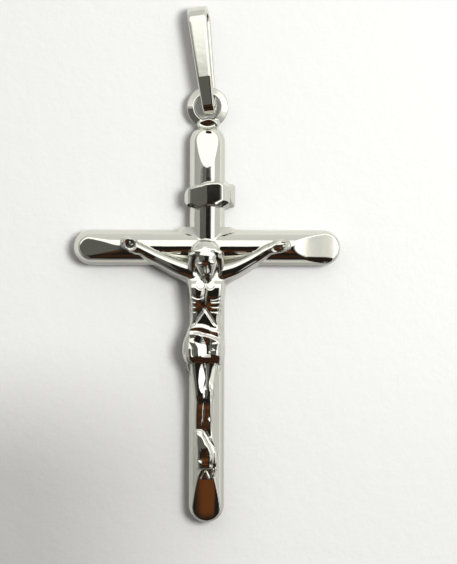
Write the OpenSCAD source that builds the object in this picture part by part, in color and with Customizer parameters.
// Crucifix charm pendant in polished white metal, lying on its back.
// The cross, the figure, the scroll and the eye are struck and soldered into one solid.
// The bail is a loose tapered strip loop that swings on the eye.
// X runs along the crossbar, Y up the upright and Z out of the front.

/* [Cross] */
// Diameter of both tubular beams
beam_d = 2.6; // [2.4:0.02:2.8]
// Length of the upright from end to end
upright_l = 29.2; // [28:0.1:31]
// Width of the crossbar from end to end
crossbar_l = 19.6; // [18:0.1:22]
// Height of the crossing above the foot of the upright
crossing_h = 20.2; // [19.5:0.1:21]
// Depth that is ground flat along the back of the beams
back_flat = 0.12; // [0.05:0.01:0.2]
// Radius of the fillet in the two upper corners of the crossing
corner_r = 0.95; // [0.4:0.05:1.1]

/* [Spoon ends] */
// Length of the polished flat on each end of the crossbar
arm_spoon_l = 4; // [3:0.1:4.5]
// Depth of the flat at the tips of the crossbar
arm_spoon_depth = 0.39; // [0.2:0.01:0.45]
// How much the flats of the crossbar hollow towards their inner ends
arm_spoon_curve = 1.5; // [1:0.1:2]
// Length of the flat at the foot of the upright
foot_spoon_l = 4.2; // [3.5:0.1:5]
// Depth of the flat at the foot
foot_spoon_depth = 0.67; // [0.4:0.01:0.75]
// Length of the flat at the top of the upright
top_spoon_l = 3.3; // [2.5:0.1:3.6]
// Depth of the flat at the top
top_spoon_depth = 0.37; // [0.2:0.01:0.4]

/* [Figure] */
// Size of the figure, where 1 is 17.6 mm from the hair to the toes
figure_size = 1; // [0.94:0.01:1.04]
// How far the struck wall spreads beyond the figure at the seam
wall_spread = 0.22; // [0.1:0.02:0.3]
// Forward bow of the head in degrees
head_bow = 38; // [30:1:42]
// Sideways tilt of the head in degrees
head_tilt = 5; // [0:1:10]

/* [Eye] */
// Outside diameter of the eye ring
eye_d = 3.05; // [3:0.01:3.15]
// Diameter of the ring's wire
eye_wire_d = 0.6; // [0.56:0.02:0.64]

/* [Bail] */
// Outside length of the bail
bail_l = 8.05; // [7.6:0.05:8.6]
// Width of the strip at the top of the loop
bail_top_w = 1.4; // [1.2:0.05:1.5]
// Width of the strip where it passes through the eye
bail_low_w = 0.88; // [0.8:0.02:0.94]
// Thickness of the strip
bail_t = 0.34; // [0.28:0.02:0.36]
// Lean of the loop in the plane of the cross in degrees
bail_lean = 7; // [0:1:9]
// Roll of the loop about its own length in degrees
bail_roll = 7; // [0:1:9]

/* [Hidden] */
silver = [0.86, 0.86, 0.87];

// Columns of every table of sections: centre, half width across and half depth.
X = 0;
Y = 1;
Z = 2;
W = 3;
D = 4;

beam_r = beam_d / 2;
axis_h = beam_r - back_flat;
seam_z = -0.35;
cut = 10;
limb_sides = 10;
beam_sides = 28;
end_step = 90 / 7;
eye_y = upright_l - crossing_h + 1.3;
eye_mid_r = (eye_d - eye_wire_d) / 2;
hinge_y = eye_y + eye_mid_r;

// The bail's side view is a teardrop round a small low circle and a large top circle.
bail_low_r = 0.58;
bail_top_r = 0.8;
bail_span = bail_l - bail_low_r - bail_top_r - 2 * bail_t;
bail_drop = 0.92;
bail_pitch = 0.7;
bail_shift = 0.1;

// The origin is under the middle of the pendant's length, so the crossing lies up the Y axis.
loop_l = bail_span + bail_top_r + bail_t;
reach_up = hinge_y - bail_drop + loop_l * cos(bail_lean) + bail_top_w / 2 * sin(bail_lean);
crossing_y = (crossing_h - reach_up) / 2;

// Outer arm, from the shoulder to the wrist. The sections are drawn about the crossing.
left_arm = [
    [-1.20, -1.80, 1.15, 0.62, 0.55],
    [-2.05, -1.52, 1.20, 0.57, 0.52],
    [-2.90, -1.16, 1.22, 0.50, 0.47],
    [-3.75, -0.76, 1.22, 0.42, 0.40],
    [-4.35, -0.46, 1.28, 0.41, 0.38],
    [-5.006, -0.111, 1.409, 0.31, 0.271],
];
right_arm = [
    [1.197, -1.85, 1.147, 0.626, 0.55],
    [2.00, -1.60, 1.20, 0.55, 0.50],
    [2.75, -1.24, 1.22, 0.48, 0.45],
    [3.55, -0.78, 1.22, 0.41, 0.39],
    [4.15, -0.40, 1.28, 0.40, 0.37],
    [4.75, -0.08, 1.40, 0.31, 0.28],
];
left_palm = [
    [-4.95, -0.14, 1.42, 0.33, 0.26],
    [-5.30, 0.04, 1.46, 0.46, 0.27],
    [-5.614, 0.186, 1.46, 0.483, 0.266],
    [-5.86, 0.28, 1.44, 0.40, 0.22],
];
right_palm = [
    [4.70, -0.10, 1.42, 0.33, 0.26],
    [5.05, 0.04, 1.46, 0.44, 0.27],
    [5.394, 0.103, 1.475, 0.454, 0.254],
    [5.70, 0.12, 1.44, 0.38, 0.22],
];

// Trunk from the collar to the waist.
trunk = [
    [-0.03, -1.70, 1.05, 1.15, 0.55],
    [-0.06, -2.25, 1.12, 1.40, 0.68],
    [-0.10, -3.00, 1.16, 1.22, 0.76],
    [-0.10, -3.90, 1.14, 1.08, 0.72],
    [-0.12, -4.70, 1.06, 0.95, 0.58],
    [-0.15, -5.40, 1.04, 0.86, 0.50],
    [-0.18, -6.10, 1.10, 0.98, 0.54],
];

// Cloth round the hips.
cloth = [
    [-0.16, -5.72, 1.05, 1.06, 0.58],
    [-0.17, -6.20, 1.08, 1.20, 0.74],
    [-0.21, -6.90, 1.08, 1.34, 0.84],
    [-0.27, -7.55, 1.05, 1.38, 0.86],
    [-0.258, -8.058, 1.044, 1.308, 0.82],
    [-0.234, -8.208, 1.032, 1.224, 0.716],
];
// The two rolled bands at the top of the cloth.
upper_band = [
    [-1.20, -6.02, 1.30, 0.16, 0.26],
    [-0.70, -5.86, 1.62, 0.19, 0.24],
    [-0.10, -5.88, 1.74, 0.20, 0.22],
    [0.50, -6.12, 1.66, 0.19, 0.22],
    [1.00, -6.32, 1.34, 0.16, 0.24],
];
lower_band = [
    [-1.28, -6.66, 1.32, 0.17, 0.26],
    [-0.75, -6.46, 1.72, 0.20, 0.26],
    [-0.10, -6.54, 1.86, 0.21, 0.24],
    [0.50, -6.82, 1.78, 0.20, 0.24],
    [1.05, -7.14, 1.40, 0.16, 0.26],
];
// The end of the cloth that hangs from the hip.
hanging_end = [
    [-1.26, -6.58, 1.26, 0.21, 0.30],
    [-1.36, -7.10, 1.22, 0.24, 0.32],
    [-1.40, -7.70, 1.16, 0.26, 0.30],
    [-1.364, -8.16, 1.10, 0.24, 0.24],
];

left_leg = [
    [-0.60, -7.90, 1.10, 0.54, 0.60],
    [-0.58, -8.90, 1.16, 0.50, 0.56],
    [-0.50, -9.90, 1.20, 0.44, 0.50],
    [-0.42, -10.80, 1.28, 0.41, 0.50],
    [-0.46, -11.60, 1.18, 0.37, 0.43],
    [-0.50, -12.60, 1.14, 0.38, 0.43],
    [-0.48, -13.60, 1.12, 0.30, 0.36],
    [-0.42, -14.30, 1.14, 0.27, 0.34],
];
right_leg = [
    [0.30, -7.90, 1.10, 0.52, 0.60],
    [0.29, -8.90, 1.15, 0.47, 0.54],
    [0.24, -9.90, 1.18, 0.42, 0.48],
    [0.19, -10.80, 1.26, 0.39, 0.48],
    [0.12, -11.60, 1.16, 0.36, 0.41],
    [0.06, -12.60, 1.10, 0.36, 0.41],
    [0.12, -13.50, 1.08, 0.30, 0.35],
    [0.28, -14.20, 1.08, 0.27, 0.33],
];
left_foot = [
    [-0.42, -14.10, 1.16, 0.28, 0.34],
    [-0.31, -14.90, 1.26, 0.41, 0.42],
    [-0.20, -15.60, 1.28, 0.44, 0.38],
    [-0.12, -16.20, 1.22, 0.40, 0.30],
];
right_foot = [
    [0.28, -14.00, 1.08, 0.27, 0.33],
    [0.44, -14.80, 1.10, 0.33, 0.36],
    [0.50, -15.60, 1.10, 0.35, 0.32],
    [0.48, -16.10, 1.06, 0.32, 0.26],
];

// A lock of hair on each side, from the parting to the shoulder, in the head's own frame.
hair_lock = [
    [0.30, 1.01, 0.28, 0.31, 0.20],
    [0.72, 0.70, 0.30, 0.30, 0.24],
    [0.92, 0.10, 0.22, 0.29, 0.30],
    [0.925, -0.52, 0.025, 0.28, 0.34],
    [0.98, -1.145, -0.245, 0.255, 0.29],
    [0.97, -1.565, -0.57, 0.195, 0.18],
];

// Stations along the scroll: centre, half height and rise of the face above the seam.
scroll_stations = [
    [-1.62, 3.62, 0.40, 0.62],
    [-1.30, 3.66, 0.56, 1.00],
    [-0.62, 3.68, 0.74, 1.46],
    [0.10, 3.88, 0.72, 1.58],
    [0.75, 3.88, 0.76, 1.44],
    [1.30, 3.84, 0.58, 1.00],
    [1.64, 3.80, 0.40, 0.62],
];
// Webs of the struck wall that round the corners under the arms.
arm_webs = [
    [[-2.20, -1.72, 1.0, 0.46], [-1.36, -2.53, 1.0, 0.36]],
    [[2.10, -1.70, 1.0, 0.42], [1.14, -2.60, 1.0, 0.37]],
];

function unit(v) = v / norm(v);

function direction(rows, i) =
    let (a = rows[max(i - 1, 0)], b = rows[min(i + 1, len(rows) - 1)])
    unit([b[X] - a[X], b[Y] - a[Y], b[Z] - a[Z]]);

// A ring of points round one section, square to the way the limb runs there.
function section_ring(row, along, sides) =
    let (across = unit(cross(along, [0, 0, 1])), out = cross(across, along))
    [for (j = [0:sides - 1])
        let (a = 360 * j / sides)
        [row[X], row[Y], row[Z]] + across * row[W] * cos(a) + out * row[D] * sin(a)];

// Two smaller sections beyond an end, which round it off.
function end_rows(row, along) =
    [for (s = [[0.8, 0.6], [0.45, 0.9]])
        let (p = [row[X], row[Y], row[Z]] + along * s[1] * min(row[W], row[D]))
        [p[X], p[Y], p[Z], row[W] * s[0], row[D] * s[0]]];

function reversed(list) = [for (i = [len(list) - 1:-1:0]) list[i]];

// A closed solid through rings of points.
module skin(rings) {
    n = len(rings[0]);
    last = len(rings) - 1;
    sides = [for (i = [0:last - 1], j = [0:n - 1])
        let (a = i * n + j, b = i * n + (j + 1) % n)
        each [[a, b, b + n], [a, b + n, a + n]]];
    caps = [[for (j = [n - 1:-1:0]) j], [for (j = [0:n - 1]) last * n + j]];
    polyhedron([for (r = rings) each r], concat(sides, caps), convexity = 6);
}

// A rounded limb through a table of sections.
module limb(rows, sides = limb_sides) {
    last = len(rows) - 1;
    start = direction(rows, 0);
    end = direction(rows, last);
    head_rows = reversed(end_rows(rows[0], -start));
    tail_rows = end_rows(rows[last], end);
    rings = concat(
        [for (r = head_rows) section_ring(r, start, sides)],
        [for (i = [0:last]) section_ring(rows[i], direction(rows, i), sides)],
        [for (r = tail_rows) section_ring(r, end, sides)]
    );
    skin(rings);
}

// The struck wall that carries a limb down to the seam, widening by its draft.
module wall(rows, spread = wall_spread) {
    for (i = [0:len(rows) - 2])
        hull()
            for (row = [rows[i], rows[i + 1]])
                translate([row[X], row[Y], seam_z])
                    cylinder(h = row[Z] - seam_z, r1 = row[W] + spread, r2 = row[W] * 0.98, $fn = 14);
}

module capsule_beam(length) {
    half = length / 2 - beam_r;
    rotate([0, 90, 0])
        rotate([0, 0, 180 / beam_sides])
            rotate_extrude($fn = beam_sides)
                polygon(concat(
                    [[0, -length / 2]],
                    [for (a = [-90 + end_step:end_step:0]) [beam_r * cos(a), -half + beam_r * sin(a)]],
                    [for (a = [0:end_step:90 - end_step]) [beam_r * cos(a), half + beam_r * sin(a)]],
                    [[0, length / 2]]
                ));
}

// What is pressed off the front of a beam's end. The tip is at X = 0 and the beam runs to +X.
module spoon_cut(length, depth, curve = 1) {
    steps = curve > 1 ? 6 : 1;
    slope = [for (i = [0:steps])
        let (t = i / steps)
        [length * t, beam_r - depth * pow(1 - t, curve)]];
    rotate([90, 0, 0])
        linear_extrude(height = beam_d, center = true)
            polygon(concat([[-1, beam_r + 1], [-1, slope[0][1]]], slope, [[length, beam_r + 1]]));
}

// One fillet of the two upper corners between the beams, sunk a little into both.
module corner_web() {
    reach = beam_r + corner_r - 0.08;
    translate([0, 0, seam_z])
        linear_extrude(height = 0.1 - 2 * seam_z)
            difference() {
                square([reach, reach]);
                translate([reach, reach])
                    circle(r = corner_r, $fn = 24);
            }
}

module beams() {
    difference() {
        union() {
            capsule_beam(crossbar_l);
            translate([0, upright_l / 2 - crossing_h, 0])
                rotate([0, 0, 90])
                    capsule_beam(upright_l);
            for (side = [0, 1])
                mirror([side, 0, 0])
                    corner_web();
        }
        for (side = [0, 1])
            mirror([side, 0, 0])
                translate([-crossbar_l / 2, 0, 0])
                    spoon_cut(arm_spoon_l, arm_spoon_depth, arm_spoon_curve);
        translate([0, -crossing_h, 0])
            rotate([0, 0, 90])
                spoon_cut(foot_spoon_l, foot_spoon_depth);
        translate([0, upright_l - crossing_h, 0])
            rotate([0, 0, -90])
                spoon_cut(top_spoon_l, top_spoon_depth);
    }
}

module ellipsoid(centre, radii, turn = [0, 0, 0], sides = 14) {
    translate(centre)
        rotate(turn)
            scale(radii)
                sphere(r = 1, $fn = sides);
}

// Four bent fingers across the open palm and a thumb beside it.
module fingers(tip, side) {
    for (i = [0:3])
        limb([
            [tip[X] - side * 0.10, tip[Y] + 0.26 - i * 0.19, tip[Z] + 0.14, 0.09, 0.10],
            [tip[X] + side * 0.16, tip[Y] + 0.30 - i * 0.17, tip[Z] + 0.14, 0.09, 0.10],
            [tip[X] + side * 0.26, tip[Y] + 0.30 - i * 0.16, tip[Z] + 0.00, 0.08, 0.09],
        ], 6);
    limb([
        [tip[X] - side * 0.49, tip[Y] + 0.19, tip[Z] + 0.11, 0.10, 0.12],
        [tip[X] - side * 0.25, tip[Y] + 0.31, tip[Z] + 0.09, 0.10, 0.12],
    ], 6);
}

module arms() {
    for (rows = [left_arm, right_arm]) {
        limb(rows);
        wall(rows);
    }
    for (rows = [left_palm, right_palm]) {
        limb(rows, 10);
        wall(rows, 0.12);
    }
    for (rows = arm_webs)
        wall(rows, 0.14);
    fingers([-5.695, 0.21, 1.485], -1);
    fingers([5.555, 0.115, 1.495], 1);
}

// Ribs curve down and out from the breastbone, and the last pair forms the arch over the belly.
module ribs() {
    for (side = [-1, 1]) {
        for (i = [0:3])
            limb([
                [-0.10 + side * 0.22, -2.95 - i * 0.36, 1.805 - i * 0.02, 0.09, 0.10],
                [-0.10 + side * 0.60, -3.02 - i * 0.40, 1.74 - i * 0.03, 0.10, 0.10],
                [-0.10 + side * 0.98, -3.22 - i * 0.42, 1.47 - i * 0.05, 0.09, 0.10],
            ], 6);
        limb([
            [-0.10, -4.02, 1.78, 0.10, 0.11],
            [-0.10 + side * 0.34, -4.46, 1.66, 0.11, 0.11],
            [-0.12 + side * 0.72, -5.20, 1.28, 0.09, 0.10],
        ], 6);
        ellipsoid([-0.10 + side * 0.52, -2.62, 1.50], [0.56, 0.42, 0.36]);
    }
    ellipsoid([-0.14, -4.95, 1.38], [0.34, 0.52, 0.26]);
}

module torso() {
    limb(trunk, 16);
    wall(trunk);
    ribs();
    limb([[-0.02, -1.50, 1.45, 0.42, 0.40], [-0.04, -2.30, 1.45, 0.46, 0.42]]);
}

// Upright folds hang from the lower band and end at the hem.
module loincloth() {
    limb(cloth, 16);
    wall(cloth);
    for (rows = [upper_band, lower_band, hanging_end])
        limb(rows, 8);
    wall(hanging_end, 0.1);
    folds = 5;
    for (i = [0:folds - 1])
        let (s = i / (folds - 1), foot_x = -1.10 + 1.95 * s, bulge = 1.72 - 1.1 * pow(s - 0.5, 2))
            limb([
                [foot_x * 0.72 - 0.02, -6.95, bulge + 0.04, 0.12, 0.12],
                [foot_x * 0.90, -7.55, bulge + 0.04, 0.14, 0.14],
                [foot_x, -8.10, bulge - 0.06, 0.15, 0.14],
            ], 6);
}

module toes(foot, count, pitch) {
    for (i = [0:count - 1])
        limb([
            [foot[X] + (i - (count - 1) / 2) * pitch, foot[Y], foot[Z] + 0.06, pitch * 0.56, 0.12],
            [foot[X] + (i - (count - 1) / 2) * pitch * 1.1, foot[Y] - 0.34, foot[Z] - 0.04, pitch * 0.5, 0.10],
        ], 6);
}

module legs() {
    for (rows = [left_leg, right_leg, left_foot, right_foot]) {
        limb(rows);
        wall(rows, 0.16);
    }
    ellipsoid([-0.11, -16.10, 1.11], [0.46, 0.50, 0.30]);
    ellipsoid([0.46, -16.00, 0.95], [0.36, 0.46, 0.26]);
    toes([-0.10, -16.36, 1.18], 5, 0.17);
    toes([0.48, -16.24, 1.00], 4, 0.15);
}

// Skull, face, hair and beard in the head's own frame, with +Y at the crown and +Z at the face.
module head_form() {
    ellipsoid([0, 0.22, -0.06], [0.88, 1.04, 1.00], sides = 18);
    ellipsoid([0, -0.42, 0.20], [0.60, 0.84, 0.70]);
    ellipsoid([0, 0.42, -0.20], [1.02, 1.00, 0.98], sides = 18);
    ellipsoid([0, -1.16, 0.42], [0.40, 0.52, 0.42]);
    limb([[0, 0.20, 0.86, 0.10, 0.12], [0, -0.16, 0.98, 0.13, 0.16]], 8);
    for (side = [-1, 1]) {
        limb([for (r = hair_lock) [side * r[X], r[Y], r[Z], r[W], r[D]]], 8);
        ellipsoid([side * 0.30, 0.18, 0.74], [0.20, 0.10, 0.14], sides = 10);
        ellipsoid([side * 0.30, 0.36, 0.78], [0.28, 0.08, 0.12], sides = 10);
    }
    limb([[-0.20, -0.46, 0.88, 0.07, 0.08], [0.20, -0.46, 0.88, 0.07, 0.08]], 6);
}

module head() {
    translate([-0.06, -1.08, 1.55])
        rotate([0, 0, head_tilt])
            scale([1.1, 1.14, 0.84])
                rotate([head_bow, 0, 0])
                    head_form();
    wall([[-0.06, -0.55, 1.40, 1.08, 1], [-0.06, -1.90, 1.40, 1.12, 1]]);
}

module figure() {
    scale([figure_size, figure_size, 1]) {
        head();
        torso();
        arms();
        loincloth();
        legs();
    }
}

// A rounded bar across the scroll at one station.
module scroll_bar(row, thick, spread = 0, deep = 0) {
    for (side = [-1, 1])
        translate([row[0], row[1] + side * (row[2] - 0.1 + spread), deep == 0 ? row[3] : seam_z])
            if (deep == 0)
                rotate([90, 0, 0])
                    cylinder(h = 0.2, r = thick, center = true, $fn = 8);
            else
                cylinder(h = 0.2, r = 0.1 + spread, $fn = 12);
}

// The title scroll folds down beside the beam at both ends, and its struck wall reaches the seam.
module scroll() {
    for (i = [0:len(scroll_stations) - 2])
        let (a = scroll_stations[i], b = scroll_stations[i + 1]) {
            hull() {
                scroll_bar(a, 0.14);
                scroll_bar(b, 0.14);
            }
            hull() {
                scroll_bar([a[0], a[1], a[2] - 0.06, a[3] - 0.12], 0.12);
                scroll_bar([b[0], b[1], b[2] - 0.06, b[3] - 0.12], 0.12);
                scroll_bar(a, 0, 0.2, 1);
                scroll_bar(b, 0, 0.2, 1);
            }
        }
}

module eye() {
    translate([0, eye_y, 0])
        rotate_extrude($fn = 36)
            translate([eye_mid_r, 0])
                circle(d = eye_wire_d, $fn = 12);
}

// Everything that is struck and soldered together, lying on the ground flat of its back.
module crucifix() {
    color(silver)
        translate([0, crossing_y, axis_h])
            difference() {
                union() {
                    beams();
                    figure();
                    scroll();
                    eye();
                }
                translate([0, 0, -axis_h - cut])
                    cube([3 * cut, 8 * cut, 2 * cut], center = true);
            }
}

// A teardrop round two circles, drawn from the low circle's centre along X.
module teardrop(grow) {
    hull() {
        circle(r = bail_low_r + grow, $fn = 36);
        translate([bail_span, 0])
            circle(r = bail_top_r + grow, $fn = 48);
    }
}

// The loop drawn along +Y from the low circle's centre, with its strip's width along X.
module bail_loop() {
    intersection() {
        rotate([90, 0, 90])
            linear_extrude(height = 2 * bail_top_w, center = true)
                difference() {
                    teardrop(bail_t);
                    teardrop(0);
                }
        translate([0, 0, -cut / 2])
            linear_extrude(height = cut)
                polygon([
                    [-bail_low_w / 2, -bail_low_r - bail_t - 0.1],
                    [bail_low_w / 2, -bail_low_r - bail_t - 0.1],
                    [bail_top_w / 2, bail_span],
                    [bail_top_w / 2 - 0.06, bail_l],
                    [-bail_top_w / 2 + 0.06, bail_l],
                    [-bail_top_w / 2, bail_span],
                ]);
    }
}

module bail() {
    color(silver)
        translate([bail_shift, crossing_y + hinge_y - bail_drop, axis_h])
            rotate([bail_pitch, 0, bail_lean])
                rotate([0, -bail_roll, 0])
                    bail_loop();
}

crucifix();
bail();
